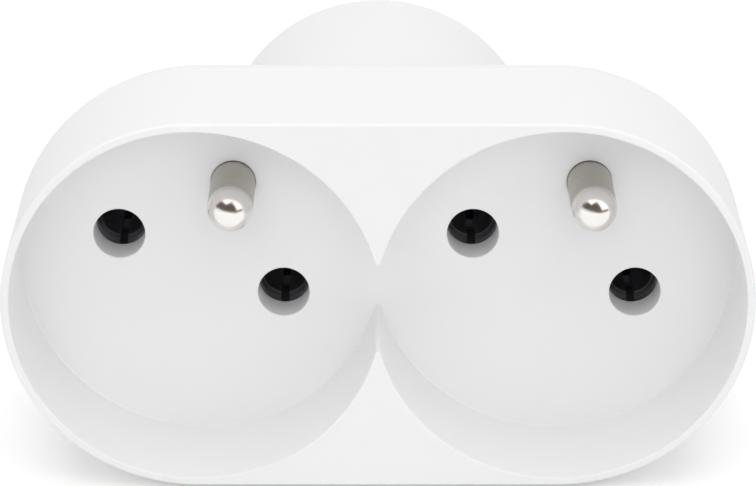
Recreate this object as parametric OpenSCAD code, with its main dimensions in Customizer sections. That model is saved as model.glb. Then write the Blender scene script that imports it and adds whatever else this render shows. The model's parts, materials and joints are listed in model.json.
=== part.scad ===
// Two way socket adapter for round two pin plugs with an earth pin.
// Every piece is drawn with its plug face on z = 0, the sockets up and the plug pins down,
// and is then turned so that the sockets face the front and the plug pins point back.

/* [Body] */
// Distance between the two socket centres
socket_spacing = 38.3; // [37:0.1:38.6]
// Width of the front rim around a recess
rim_t = 0.9; // [0.8:0.1:2]
// How much the half height grows from the front rim to the seam
side_flare = 0.3; // [0.2:0.05:1]
// Depth of the seam between the two housings, behind the front rim
seam_depth = 17.5; // [16:0.5:18]
// Thickness of the front housing's outer skirt
skirt_t = 1.6; // [1.2:0.1:2]
// Thickness of the rear housing's wall
rear_wall_t = 1.8; // [1.4:0.1:2]
// Radius of the bend behind the seam
shoulder_bend_r = 9; // [6:0.5:11]
// Room between the carrier's outer wells and the shoulder
shoulder_room = 0.4; // [0.2:0.1:1]
// Radius of the shoulder's back corner
shoulder_corner_r = 3.5; // [2.5:0.25:4]
// Radius of the front rim's edges
edge_r = 0.3; // [0.1:0.05:0.4]

/* [Sockets] */
// Radius of a socket's round recess
cup_r = 19.5; // [19.3:0.1:19.7]
// Depth of a socket's recess
cup_depth = 13.3; // [12:0.1:14.5]
// Thickness of the recess floor
floor_t = 2.2; // [1.8:0.1:3]
// Radius of a contact hole
hole_r = 2.8; // [2.7:0.05:3]
// Length of a contact hole through the floor and its collar
hole_length = 5; // [4.5:0.1:5.5]
// Radius of the collar behind each hole
collar_r = 4.3; // [4:0.1:4.6]
// Distance between the two contact holes of a socket
contact_pitch = 19; // [18.8:0.1:19.2]
// Tilt of the line through a socket's two holes, in degrees
hole_tilt = 21; // [18:1:24]
// Distance of an earth contact from the line through the two holes
earth_offset = 10; // [9.8:0.1:10.2]
// Distance between the round noses of the two webs that part the recesses
web_gap = 10.5; // [10:0.1:12]
// Wall between a recess and the hollow inside a web
web_wall_t = 1.3; // [1:0.1:1.6]
// Thickness of a web's front face
web_face_t = 2; // [1.5:0.1:3]

/* [Earth pins] */
// Radius of an earth pin
earth_pin_r = 2.4; // [2.3:0.05:2.5]
// How far an earth pin stands out of the recess floor
earth_pin_reach = 10.7; // [9:0.1:12]
// Radius of an earth pin's flange behind its collar
earth_flange_r = 3.3; // [3:0.1:3.4]
// Thickness of that flange
earth_flange_t = 1; // [0.8:0.1:1.4]
// Radius of the earth pin's tail
earth_tail_r = 1.9; // [1.7:0.1:2]
// Radius of the thicker root that holds an earth pin in its collar
earth_root_r = 2.8; // [2.6:0.05:3]

/* [Plug] */
// Radius of the round plug body at its face, before the edge is rounded
plug_r = 18.5; // [18.2:0.1:18.8]
// Growth of that radius from the face to the shoulder
plug_flare = 0.35; // [0.1:0.05:0.5]
// How far the plug body stands out behind the shoulder
plug_reach = 15.5; // [14.5:0.5:16]
// Radius of the plug face's edge
plug_edge_r = 1.5; // [0.5:0.25:2]
// Thickness of the plug face
plug_face_t = 3; // [2.5:0.1:3.5]
// Thickness of the plug body's round wall
plug_wall_t = 2; // [1.6:0.1:2.2]
// Radius of a plug pin
plug_pin_r = 2.4; // [2.3:0.05:2.5]
// Length of a plug pin outside the plug face
plug_pin_length = 19; // [18.5:0.1:19.5]
// Radius of the thicker root that holds a plug pin in the plug face
plug_root_r = 2.8; // [2.6:0.05:3]
// Radius of the plug's earth hole
earth_hole_r = 2.6; // [2.5:0.05:2.7]

/* [Contacts] */
// Bore radius of a contact clip
clip_bore_r = 2.45; // [2.42:0.01:2.5]
// Sheet thickness of a contact clip
clip_t = 0.55; // [0.4:0.05:0.6]
// Width of the slots that part a clip's fingers
clip_slot_w = 0.9; // [0.6:0.1:1.2]
// Outward flare of a clip's mouth
clip_flare = 0.35; // [0.1:0.05:0.4]
// Distance from a clip's centre to its rivet
rivet_offset = 6.4; // [6.2:0.1:7]
// Thickness of the busbars and the earth strip
bar_t = 0.8; // [0.6:0.1:1]
// Width of a busbar
bar_w = 3.2; // [3:0.1:3.6]
// Width of the earth strip
earth_strip_w = 5.4; // [5.2:0.1:5.6]
// Height of the pads under the outer ends of the busbars
bar_pad_h = 1.1; // [0.8:0.1:2]
// Width of a busbar's leg to its plug pin
leg_w = 5; // [4.6:0.2:6]
// Height of a spring ring
ring_h = 2.4; // [1.5:0.1:3.5]
// Sheet thickness of a spring ring
ring_t = 0.35; // [0.25:0.05:0.4]

/* [Carrier] */
// Thickness of the contact carrier's plate
carrier_t = 1.6; // [1.2:0.1:2]
// Play between the contact carrier's plate and the snap hooks
carrier_play = 0.25; // [0.1:0.05:1]
// Inner radius of the carrier's wells
well_r = 3.5; // [3.45:0.05:3.6]
// Wall of the carrier's wells
well_t = 0.7; // [0.5:0.1:0.8]

/* [Fixings] */
// Sideways place of a housing screw from the middle
screw_x = 6; // [5.6:0.1:6.2]
// How far the housing screws lie below the middle
screw_drop = 11; // [10.8:0.1:11.3]
// Thread radius of a housing screw
screw_r = 1.5; // [1.3:0.1:1.6]
// Head radius of a housing screw
screw_head_r = 2.7; // [2.5:0.1:2.8]
// Head height of a housing screw
screw_head_h = 2; // [1.6:0.1:2.4]
// Shank length of a housing screw
screw_length = 12; // [10:0.5:13]
// Radius of a screw boss
boss_r = 2.8; // [2.6:0.1:2.9]
// Inner radius of a screw's deep well
screw_well_r = 3; // [2.9:0.05:3.1]
// Width of a snap hook
hook_w = 4; // [3:0.5:5]

/* [Hidden] */

// Overrun of a cut past the face that it opens
over = 0.5;
// Play between pieces that slide together at assembly
play = 0.1;
// Play between a pressed pin and its hole
press_play = 0.02;
// Depth at which a pin's thicker root starts, behind the face that the pin leaves
root_depth = 0.5;
// Height of a pin's thinner neck outside that face, and how much thinner it is
neck_h = 0.2;
neck_cut = 0.2;
// Steps in a rounded corner of an outline
corner_steps = 6;
// Facets of the large and the small round forms
large_fn = 144;
small_fn = 48;

// Heights above the plug face, stacked from the back of the shoulder to the front rim
tip_play = 0.4;
foot_t = 0.6;
inner_floor_z = plug_reach + rear_wall_t;
bar_z = inner_floor_z + bar_pad_h;
bar_top_z = bar_z + bar_t;
foot_top_z = bar_top_z + foot_t;
floor_z = foot_top_z + tip_play + plug_pin_length;
floor_back_z = floor_z - floor_t;
collar_z = floor_z - hole_length;
carrier_z = collar_z - carrier_t;
body_depth = floor_z + cup_depth;
seam_z = body_depth - seam_depth;

// Places on the sockets
lobe_x = socket_spacing / 2;
half_pitch = contact_pitch / 2;
hole_x = half_pitch * cos(hole_tilt);
hole_y = half_pitch * sin(hole_tilt);
earth_x = earth_offset * sin(hole_tilt);
earth_y = earth_offset * cos(hole_tilt);
rim_r = cup_r + rim_t;
seam_r = rim_r + side_flare;
web_y = web_gap / 2;
web_nose_r = lobe_x - sqrt(cup_r * cup_r - web_y * web_y);

// Housing seam, with the rear housing's lip inside the front housing's skirt
seam_edge = 0.12;
lip_h = 1.4;
lip_t = 0.9;
lip_r = seam_r - skirt_t - play;
pad_r = 1.5;

// Small sizes of the plug pins and their rivets
pin_flange_r = 3.4;
pin_flange_t = 1.2;
pin_tail_r = 1.5;
rivet_head_r = 2.2;
rivet_head_h = 0.7;
clip_rivet_r = 1;
clip_rivet_head_r = 1.5;
clip_rivet_head_h = 0.6;
leg_foot_z = plug_face_t + pin_flange_t;
leg_foot_reach = 2.9;
sleeve_base_t = 1;
sleeve_gap = 0.3;
sleeve_length = 11.5;
sleeve_top_z = plug_face_t + sleeve_gap + sleeve_length;
clip_slot_depth_share = 0.7;
ring_place_share = 0.5;
ring_gap_angle = 40;

// Small sizes of the fixings
shelf_rise = 1;
shelf_t = 2;
boss_z = bar_top_z + shelf_rise;
screw_hole_r = screw_r + play;
thread_bite_share = 0.25;
pilot_r = screw_r * (1 - thread_bite_share);
hook_t = 1.2;
hook_x = 10;
hook_barb = 0.7;
hook_barb_h = 1.4;
ledge_t = 1.2;
ledge_z = seam_z - lip_h - ledge_t;
hook_y = lip_r - lip_t - hook_barb - 3 * play;
hook_z = ledge_z - play - hook_barb_h;
carrier_r = hook_y - hook_t - carrier_play;
drive_r = 1.3;
drive_depth = 1;
drive_sides = 3;

// Left and right of the adapter's middle
sides = [-1, 1];

// Turns a piece from its drawing pose to the adapter's own frame
module upright() rotate([90, 0, 0]) children();

// A round corner from one direction to another, as points
function arc(centre, r, from, to) = [
    for (i = [0:corner_steps])
        let (a = from + (to - from) * i / corner_steps)
        [centre[0] + r * cos(a), centre[1] + r * sin(a)]
];

// Outline of the shoulder from the seam down to its back face, moved inwards by a wall.
// Its slope runs from the bend behind the seam to a point that clears the outer wells.
function shoulder(inset) = let (
    flare_angle = atan(side_flare / seam_depth),
    bend_x = seam_r - shoulder_bend_r * cos(flare_angle),
    bend_z = seam_z - seam_edge - shoulder_bend_r * sin(flare_angle),
    well_x = half_pitch + well_r + well_t + shoulder_room + rear_wall_t - bend_x,
    well_drop = bend_z - foot_top_z,
    slope = atan2(well_drop, well_x) - acos(shoulder_bend_r / norm([well_x, well_drop])),
    slope_x = bend_x + shoulder_bend_r * cos(slope),
    slope_z = bend_z - shoulder_bend_r * sin(slope),
    corner_z = plug_reach + shoulder_corner_r,
    corner_x = slope_x - (slope_z - corner_z + shoulder_corner_r * sin(slope)) * tan(slope)
        - shoulder_corner_r * cos(slope)
) concat(
    arc([bend_x, bend_z], shoulder_bend_r - inset, flare_angle, -slope),
    arc([corner_x, corner_z], shoulder_corner_r - inset, -slope, -90)
);

// A body with two round ends and a straight middle, from half of its section
module lobed(section) {
    for (side = sides)
        translate([side * lobe_x, 0, 0])
            rotate([0, 0, -90 * side])
                rotate_extrude(angle = 180, $fn = large_fn) polygon(section);
    rotate([90, 0, 90])
        translate([0, 0, -lobe_x])
            linear_extrude(2 * lobe_x) {
                polygon(section);
                mirror([1, 0]) polygon(section);
            }
}

// A flat plate with two round ends
module lobed_plate(r, z, t) {
    lobed([[0, z], [r, z], [r, z + t], [0, z + t]]);
}

// Places of the four contact holes, the two earth pins and the two screws
module at_neutral_holes() {
    for (side = sides) translate([side * lobe_x - hole_x, hole_y, 0]) children();
}
module at_live_holes() {
    for (side = sides) translate([side * lobe_x + hole_x, -hole_y, 0]) children();
}
module at_holes() {
    at_neutral_holes() children();
    at_live_holes() children();
}
module at_earth_pins() {
    for (side = sides) translate([side * lobe_x + earth_x, earth_y, 0]) children();
}
module at_screws() {
    for (side = sides) translate([side * screw_x, -screw_drop, 0]) children();
}
module at_hooks() {
    for (side = sides) translate([side * hook_x, 0, 0]) children();
}

// A tube from one height up to another
module tube(r, bore_r, z, h) {
    translate([0, 0, z])
        difference() {
            cylinder(r = r, h = h, $fn = small_fn);
            translate([0, 0, -over]) cylinder(r = bore_r, h = h + 2 * over, $fn = small_fn);
        }
}

// Two overlapping round recesses, with the blunt noses of the webs left standing
module recesses() {
    translate([0, 0, floor_z])
        linear_extrude(cup_depth + over)
            difference() {
                union() {
                    for (side = sides) translate([side * lobe_x, 0]) circle(r = cup_r, $fn = large_fn);
                    square([2 * (web_nose_r + play), 2 * web_y], center = true);
                }
                for (side = sides) translate([0, side * web_y]) circle(r = web_nose_r, $fn = small_fn);
            }
}

// Hollow behind the web's front face, open to the back
module web_core() {
    translate([0, 0, seam_z - over])
        linear_extrude(body_depth - web_face_t - seam_z + over)
            difference() {
                square([2 * lobe_x, 2 * (rim_r - skirt_t)], center = true);
                for (side = sides)
                    translate([side * lobe_x, 0]) circle(r = cup_r + web_wall_t, $fn = large_fn);
            }
}

module front_housing() {
    outer = concat(
        [[0, seam_z], [seam_r - seam_edge, seam_z], [seam_r, seam_z + seam_edge]],
        arc([rim_r - edge_r, body_depth - edge_r], edge_r, 0, 90),
        [[0, body_depth]]
    );
    skirt_r = seam_r - skirt_t;
    color("white") upright() difference() {
        union() {
            difference() {
                lobed(outer);
                lobed_plate(skirt_r, seam_z - over, floor_back_z - seam_z + over);
                recesses();
                web_core();
            }
            at_holes() translate([0, 0, collar_z])
                cylinder(r = collar_r, h = hole_length - floor_t / 2, $fn = small_fn);
            at_earth_pins() translate([0, 0, collar_z])
                cylinder(r = collar_r, h = hole_length - floor_t / 2, $fn = small_fn);
            at_screws() translate([0, 0, boss_z])
                cylinder(r = boss_r, h = floor_z - floor_t / 2 - boss_z, $fn = small_fn);
            at_hooks() hook();
        }
        at_holes() translate([0, 0, collar_z - over])
            cylinder(r = hole_r, h = hole_length + 2 * over, $fn = small_fn);
        at_earth_pins() {
            translate([0, 0, collar_z - over])
                cylinder(r = earth_pin_r + press_play, h = hole_length + 2 * over, $fn = small_fn);
            translate([0, 0, collar_z - over])
                cylinder(r = earth_root_r + press_play, h = hole_length - root_depth + over, $fn = small_fn);
        }
        at_screws() translate([0, 0, boss_z - over])
            cylinder(r = pilot_r, h = screw_length + over, $fn = small_fn);
    }
}

// Snap hook that reaches into the rear housing at its top
module hook() {
    translate([-hook_w / 2, hook_y - hook_t, hook_z])
        cube([hook_w, hook_t, floor_z - floor_t / 2 - hook_z]);
    translate([-hook_w / 2, hook_y, hook_z])
        rotate([90, 0, 90])
            linear_extrude(hook_w)
                polygon([[0, 0], [hook_barb, hook_barb_h], [0, hook_barb_h]]);
}

module rear_housing() {
    outer = concat(
        [[0, seam_z], [seam_r - seam_edge, seam_z]],
        shoulder(0),
        [[0, plug_reach]]
    );
    inner = concat(
        [[0, seam_z + over], [seam_r - rear_wall_t, seam_z + over]],
        shoulder(rear_wall_t),
        [[0, inner_floor_z]]
    );
    plug_outer = concat(
        [[0, 0]],
        arc([plug_r - plug_edge_r, plug_edge_r], plug_edge_r, -90, 0),
        [[plug_r + plug_flare, plug_reach], [seam_r - seam_edge, seam_z], [0, seam_z]]
    );
    plug_inner = [
        [0, plug_face_t],
        [plug_r - plug_wall_t, plug_face_t],
        [plug_r + plug_flare - plug_wall_t, plug_reach],
        [seam_r - seam_edge - plug_wall_t, seam_z + over],
        [0, seam_z + over]
    ];
    well_outer_r = screw_well_r + well_t;
    color("white") upright() {
        difference() {
            union() {
                difference() {
                    union() {
                        lobed(outer);
                        rotate_extrude($fn = large_fn) polygon(plug_outer);
                    }
                    lobed(inner);
                    rotate_extrude($fn = large_fn) polygon(plug_inner);
                }
                at_screws() translate([0, 0, plug_face_t / 2])
                    cylinder(r = well_outer_r, h = boss_z - plug_face_t / 2, $fn = small_fn);
                translate([0, earth_offset, plug_face_t / 2])
                    cylinder(r = well_r + well_t, h = sleeve_top_z - plug_face_t, $fn = small_fn);
                at_bar_pads() translate([0, 0, plug_reach + rear_wall_t / 2])
                    cylinder(r = pad_r, h = bar_z - plug_reach - rear_wall_t / 2, $fn = small_fn);
                lip();
                at_hooks() ledge();
            }
            for (side = sides) translate([side * half_pitch, 0, 0]) {
                translate([0, 0, -over])
                    cylinder(r = plug_pin_r + press_play, h = plug_face_t + over, $fn = small_fn);
                translate([0, 0, root_depth])
                    cylinder(r = plug_root_r + press_play, h = plug_face_t, $fn = small_fn);
            }
            translate([0, earth_offset, -over])
                cylinder(r = earth_hole_r, h = plug_face_t + 2 * over, $fn = small_fn);
            translate([0, earth_offset, plug_face_t])
                cylinder(r = well_r, h = sleeve_length, $fn = small_fn);
            at_screws() translate([0, 0, -over])
                cylinder(r = screw_well_r, h = boss_z - shelf_t + over, $fn = small_fn);
            at_screws() translate([0, 0, boss_z - shelf_t - over])
                cylinder(r = screw_hole_r, h = shelf_t + 2 * over, $fn = small_fn);
        }
    }
}

// Lip that centres the two housings on each other
module lip() {
    difference() {
        lobed_plate(lip_r, seam_z - lip_h, 2 * lip_h);
        lobed_plate(lip_r - lip_t, seam_z - lip_h - over, 2 * (lip_h + over));
    }
}

// Ledge that a snap hook catches
module ledge() {
    translate([-hook_w / 2, hook_y + play, ledge_z])
        cube([hook_w, lip_r - lip_t / 2 - hook_y, ledge_t + lip_h / 2]);
}

// Places where the rear housing carries the outer ends of the busbars
module at_bar_pads() {
    pad_x = lobe_x + hole_x - clip_bore_r - clip_t;
    translate([-pad_x, hole_y, 0]) children();
    translate([pad_x, -hole_y, 0]) children();
}

module contact_carrier() {
    well_h = carrier_z - foot_top_z;
    color("#26262a") upright() difference() {
        union() {
            lobed_plate(carrier_r, carrier_z, carrier_t);
            at_holes() translate([0, 0, foot_top_z])
                cylinder(r = well_r + well_t, h = well_h + carrier_t / 2, $fn = small_fn);
        }
        at_holes() translate([0, 0, foot_top_z - over])
            cylinder(r = well_r, h = well_h + carrier_t + 2 * over, $fn = small_fn);
        at_earth_pins() translate([0, 0, carrier_z - over])
            cylinder(r = earth_flange_r + play, h = carrier_t + 2 * over, $fn = small_fn);
        at_screws() translate([0, 0, carrier_z - over])
            cylinder(r = boss_r + play, h = carrier_t + 2 * over, $fn = small_fn);
    }
}

// A slotted round contact that opens upwards, from its base to its mouth
module barrel(z, h) {
    outer_r = clip_bore_r + clip_t;
    flare_h = 2 * clip_flare;
    difference() {
        rotate_extrude($fn = small_fn) polygon([
            [clip_bore_r, z],
            [outer_r, z],
            [outer_r, z + h - flare_h],
            [outer_r + clip_flare, z + h],
            [clip_bore_r + clip_flare, z + h],
            [clip_bore_r, z + h - flare_h]
        ]);
        for (turn = [0, 90])
            rotate([0, 0, turn])
                translate([-outer_r - over, -clip_slot_w / 2, z + h * (1 - clip_slot_depth_share)])
                    cube([2 * (outer_r + over), clip_slot_w, h]);
    }
}

// A contact clip with its foot on the busbar, towards the given side
module clip(foot_side) {
    foot_end = rivet_offset + bar_w / 2;
    color("#b9b3a2") {
        barrel(bar_top_z, collar_z - clip_flare - bar_top_z);
        translate([0, 0, bar_top_z])
            difference() {
                union() {
                    cylinder(r = clip_bore_r + clip_t, h = foot_t, $fn = small_fn);
                    translate([foot_side > 0 ? 0 : -foot_end, -bar_w / 2, 0])
                        cube([foot_end, bar_w, foot_t]);
                }
                translate([foot_side * rivet_offset, 0, -over])
                    cylinder(r = clip_rivet_r + press_play, h = foot_t + 2 * over, $fn = small_fn);
            }
    }
}

module left_neutral_clip() upright() translate([-lobe_x - hole_x, hole_y, 0]) clip(1);
module right_neutral_clip() upright() translate([lobe_x - hole_x, hole_y, 0]) clip(-1);
module left_live_clip() upright() translate([-lobe_x + hole_x, -hole_y, 0]) clip(1);
module right_live_clip() upright() translate([lobe_x + hole_x, -hole_y, 0]) clip(-1);

// An open steel ring that presses a clip's fingers together
module ring(z) {
    ring_r = clip_bore_r + clip_t + press_play;
    color("#8f9297")
        rotate([0, 0, ring_gap_angle / 2])
            translate([0, 0, z])
                rotate_extrude(angle = 360 - ring_gap_angle, $fn = small_fn)
                    translate([ring_r, 0]) square([ring_t, ring_h]);
}

clip_ring_z = bar_top_z + (collar_z - bar_top_z) * ring_place_share;
module left_neutral_spring_ring() upright() translate([-lobe_x - hole_x, hole_y, 0]) ring(clip_ring_z);
module right_neutral_spring_ring() upright() translate([lobe_x - hole_x, hole_y, 0]) ring(clip_ring_z);
module left_live_spring_ring() upright() translate([-lobe_x + hole_x, -hole_y, 0]) ring(clip_ring_z);
module right_live_spring_ring() upright() translate([lobe_x + hole_x, -hole_y, 0]) ring(clip_ring_z);

// A busbar that links one contact of each socket with a plug pin
module busbar() {
    bar_start = -lobe_x - hole_x;
    bar_end = lobe_x - hole_x;
    outer_y = hole_y + bar_w / 2;
    color("#c9a24b") difference() {
        union() {
            translate([bar_start, hole_y - bar_w / 2, bar_z]) cube([bar_end - bar_start, bar_w, bar_t]);
            for (x = [bar_start, bar_end])
                translate([x, hole_y, bar_z]) cylinder(r = bar_w / 2, h = bar_t, $fn = small_fn);
            translate([-half_pitch - leg_w / 2, outer_y - bar_t, leg_foot_z])
                cube([leg_w, bar_t, bar_top_z - leg_foot_z]);
            translate([-half_pitch - leg_w / 2, -leg_foot_reach, leg_foot_z])
                cube([leg_w, outer_y + leg_foot_reach, bar_t]);
        }
        translate([-half_pitch, 0, leg_foot_z - over])
            cylinder(r = pin_tail_r + press_play, h = bar_t + 2 * over, $fn = small_fn);
        for (x = [bar_start + rivet_offset, bar_end - rivet_offset])
            translate([x, hole_y, bar_z - over])
                cylinder(r = clip_rivet_r + press_play, h = bar_t + 2 * over, $fn = small_fn);
    }
}

module neutral_busbar() upright() busbar();
module live_busbar() upright() rotate([0, 0, 180]) busbar();

// A plug pin with a flange inside the plug face and a riveted tail
module plug_pin() {
    tip_r = plug_pin_r;
    tail_top = leg_foot_z + bar_t;
    color("#c8c6c0") rotate_extrude($fn = small_fn) polygon(concat(
        [[0, tail_top + rivet_head_h], [0, -plug_pin_length]],
        arc([0, tip_r - plug_pin_length], tip_r, -90, 0),
        [
            [plug_pin_r, -neck_h],
            [plug_pin_r - neck_cut, -neck_h],
            [plug_pin_r - neck_cut, root_depth],
            [plug_root_r, root_depth],
            [plug_root_r, plug_face_t],
            [pin_flange_r, plug_face_t],
            [pin_flange_r, leg_foot_z],
            [pin_tail_r, leg_foot_z],
            [pin_tail_r, tail_top],
            [rivet_head_r, tail_top],
            [rivet_head_r, tail_top + rivet_head_h / 2],
            [pin_tail_r, tail_top + rivet_head_h]
        ]
    ));
}

module neutral_plug_pin() upright() translate([-half_pitch, 0, 0]) plug_pin();
module live_plug_pin() upright() translate([half_pitch, 0, 0]) plug_pin();

// A socket's earth pin, from its round tip to the tail that is riveted to the earth strip
module earth_pin() {
    tip_z = floor_z + earth_pin_reach;
    flange_z = collar_z - earth_flange_t;
    color("#b9b5ab") rotate_extrude($fn = small_fn) polygon(concat(
        [
            [0, bar_z - rivet_head_h],
            [pin_tail_r, bar_z - rivet_head_h],
            [rivet_head_r, bar_z - rivet_head_h / 2],
            [rivet_head_r, bar_z],
            [pin_tail_r, bar_z],
            [pin_tail_r, bar_top_z],
            [earth_tail_r, bar_top_z],
            [earth_tail_r, flange_z],
            [earth_flange_r, flange_z],
            [earth_flange_r, collar_z],
            [earth_root_r, collar_z],
            [earth_root_r, floor_z - root_depth],
            [earth_pin_r - neck_cut, floor_z - root_depth],
            [earth_pin_r - neck_cut, floor_z + neck_h],
            [earth_pin_r, floor_z + neck_h]
        ],
        arc([0, tip_z - earth_pin_r], earth_pin_r, 0, 90)
    ));
}

module left_earth_pin() upright() translate([-lobe_x + earth_x, earth_y, 0]) earth_pin();
module right_earth_pin() upright() translate([lobe_x + earth_x, earth_y, 0]) earth_pin();

module earth_strip() {
    strip_y = (earth_y + earth_offset) / 2;
    strip_start = -lobe_x + earth_x;
    strip_end = lobe_x + earth_x;
    color("#c9a24b") upright() difference() {
        union() {
            translate([strip_start, strip_y - earth_strip_w / 2, bar_z])
                cube([strip_end - strip_start, earth_strip_w, bar_t]);
            for (x = [strip_start, strip_end])
                translate([x, strip_y, bar_z]) cylinder(r = earth_strip_w / 2, h = bar_t, $fn = small_fn);
        }
        at_earth_pins() translate([0, 0, bar_z - over])
            cylinder(r = pin_tail_r + press_play, h = bar_t + 2 * over, $fn = small_fn);
        translate([0, earth_offset, bar_z - over])
            cylinder(r = pin_tail_r + press_play, h = bar_t + 2 * over, $fn = small_fn);
    }
}

// Socket for the wall outlet's earth pin, riveted under the earth strip
module earth_sleeve() {
    outer_r = clip_bore_r + clip_t;
    color("#b9b3a2") upright() translate([0, earth_offset, 0]) {
        mirror([0, 0, 1]) barrel(-sleeve_top_z, sleeve_length);
        translate([0, 0, sleeve_top_z - sleeve_base_t])
            cylinder(r = outer_r, h = sleeve_base_t, $fn = small_fn);
        translate([0, 0, sleeve_top_z - sleeve_base_t / 2])
            cylinder(r = earth_tail_r, h = bar_z - sleeve_top_z + sleeve_base_t / 2, $fn = small_fn);
        translate([0, 0, bar_z - over])
            cylinder(r = pin_tail_r, h = bar_t + over, $fn = small_fn);
        translate([0, 0, bar_top_z])
            cylinder(r1 = rivet_head_r, r2 = pin_tail_r, h = rivet_head_h, $fn = small_fn);
    }
}

module earth_sleeve_ring()
    upright() translate([0, earth_offset, 0]) ring(plug_face_t + sleeve_length * ring_place_share);

// One rivet under each clip's foot
module clip_rivets() {
    neutral_x = [-lobe_x - hole_x + rivet_offset, lobe_x - hole_x - rivet_offset];
    color("#b9b3a2") upright()
        for (turn = [0, 180])
            rotate([0, 0, turn])
                for (x = neutral_x) translate([x, hole_y, 0]) clip_rivet();
}

module clip_rivet() {
    translate([0, 0, bar_z - clip_rivet_head_h])
        cylinder(r1 = clip_rivet_r, r2 = clip_rivet_head_r, h = clip_rivet_head_h, $fn = small_fn);
    translate([0, 0, bar_z]) cylinder(r = clip_rivet_r, h = bar_t + foot_t, $fn = small_fn);
    translate([0, 0, foot_top_z])
        cylinder(r1 = clip_rivet_head_r, r2 = clip_rivet_r, h = clip_rivet_head_h, $fn = small_fn);
}

// Two long screws, put in from the plug face, with a three sided drive
module housing_screws() {
    head_z = boss_z - shelf_t - screw_head_h;
    color("#8f9297") upright() at_screws() difference() {
        union() {
            translate([0, 0, head_z]) cylinder(r = screw_head_r, h = screw_head_h, $fn = small_fn);
            translate([0, 0, head_z + screw_head_h / 2])
                cylinder(r = pilot_r - press_play, h = screw_length + screw_head_h / 2, $fn = small_fn);
        }
        translate([0, 0, head_z - over])
            cylinder(r = drive_r, h = drive_depth + over, $fn = drive_sides);
    }
}

front_housing();
rear_housing();
contact_carrier();
left_neutral_clip();
left_live_clip();
right_neutral_clip();
right_live_clip();
left_neutral_spring_ring();
left_live_spring_ring();
right_neutral_spring_ring();
right_live_spring_ring();
neutral_busbar();
live_busbar();
neutral_plug_pin();
live_plug_pin();
left_earth_pin();
right_earth_pin();
earth_strip();
earth_sleeve();
earth_sleeve_ring();
clip_rivets();
housing_screws();
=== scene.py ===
import json
import math

import bmesh
import bpy
from mathutils import Matrix, Vector


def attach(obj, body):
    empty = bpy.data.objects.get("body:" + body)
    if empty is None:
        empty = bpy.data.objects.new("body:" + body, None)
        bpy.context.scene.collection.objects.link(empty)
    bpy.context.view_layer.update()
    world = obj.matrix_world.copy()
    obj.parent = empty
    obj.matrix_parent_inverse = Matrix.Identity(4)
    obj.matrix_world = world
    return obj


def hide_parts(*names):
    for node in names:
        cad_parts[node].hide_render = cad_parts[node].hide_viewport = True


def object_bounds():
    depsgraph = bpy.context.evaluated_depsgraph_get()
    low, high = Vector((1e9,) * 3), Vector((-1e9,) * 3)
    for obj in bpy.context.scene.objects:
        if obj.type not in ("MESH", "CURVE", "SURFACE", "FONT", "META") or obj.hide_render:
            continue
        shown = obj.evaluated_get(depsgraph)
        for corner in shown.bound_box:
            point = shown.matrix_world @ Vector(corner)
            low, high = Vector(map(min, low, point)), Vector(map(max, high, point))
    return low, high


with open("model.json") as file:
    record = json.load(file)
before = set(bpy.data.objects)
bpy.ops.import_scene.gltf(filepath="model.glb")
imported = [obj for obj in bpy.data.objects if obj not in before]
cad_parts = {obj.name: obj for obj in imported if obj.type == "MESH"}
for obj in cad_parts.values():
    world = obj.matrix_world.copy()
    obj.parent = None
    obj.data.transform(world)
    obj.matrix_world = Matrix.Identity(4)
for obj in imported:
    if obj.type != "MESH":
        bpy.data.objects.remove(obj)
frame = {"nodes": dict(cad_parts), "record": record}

CAD_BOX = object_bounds()

# The adapter is drawn in millimetres with its plug face on z = 0, its sockets up and its plug
# pins down, as in the part's source, and is then turned so that the sockets face the front.
MM = 0.001
UPRIGHT = Matrix.Scale(MM, 4) @ Matrix.Rotation(math.radians(90), 4, "X")

# Sizes are in millimetres, apart from those of the studio, the noises and the fine relief.

# Body
SOCKET_SPACING = 38.3
RIM_T = 0.9
SIDE_FLARE = 0.3
SEAM_DEPTH = 17.5
SKIRT_T = 1.6
REAR_WALL_T = 1.8
SHOULDER_BEND_R = 9.0
SHOULDER_ROOM = 0.4
SHOULDER_CORNER_R = 3.5
RIM_EDGE_R = 0.3
SEAM_EDGE = 0.06

# Sockets
CUP_R = 19.5
CUP_DEPTH = 13.3
# Under the radius of the web's round nose, which is 0.36 here
CUP_MOUTH_R = 0.15
CUP_FILLET_R = 0.15
FLOOR_T = 2.2
HOLE_R = 2.8
HOLE_MOUTH_R = 0.14
HOLE_LENGTH = 5.0
# The wider bore at a contact hole's inner end
RELIEF_R = 3.3
RELIEF_H = 0.9
COLLAR_R = 4.3
CONTACT_PITCH = 19.0
HOLE_TILT = math.radians(21)
EARTH_OFFSET = 10.0
WEB_GAP = 10.5
WEB_WALL_T = 1.3
WEB_FACE_T = 2.0

# Earth pins
EARTH_PIN_R = 2.4
EARTH_PIN_REACH = 10.7
EARTH_ROOT_R = 2.8
EARTH_FLANGE_R = 3.3
EARTH_FLANGE_T = 1.0
EARTH_TAIL_R = 1.9

# Plug
PLUG_R = 18.5
PLUG_FLARE = 0.35
PLUG_REACH = 15.5
PLUG_EDGE_R = 1.5
PLUG_FACE_T = 3.0
PLUG_WALL_T = 2.0
PLUG_PIN_R = 2.4
PLUG_PIN_LENGTH = 19.0
PLUG_ROOT_R = 2.8
EARTH_HOLE_R = 2.6
NECK_FILLET = 1.3

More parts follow.
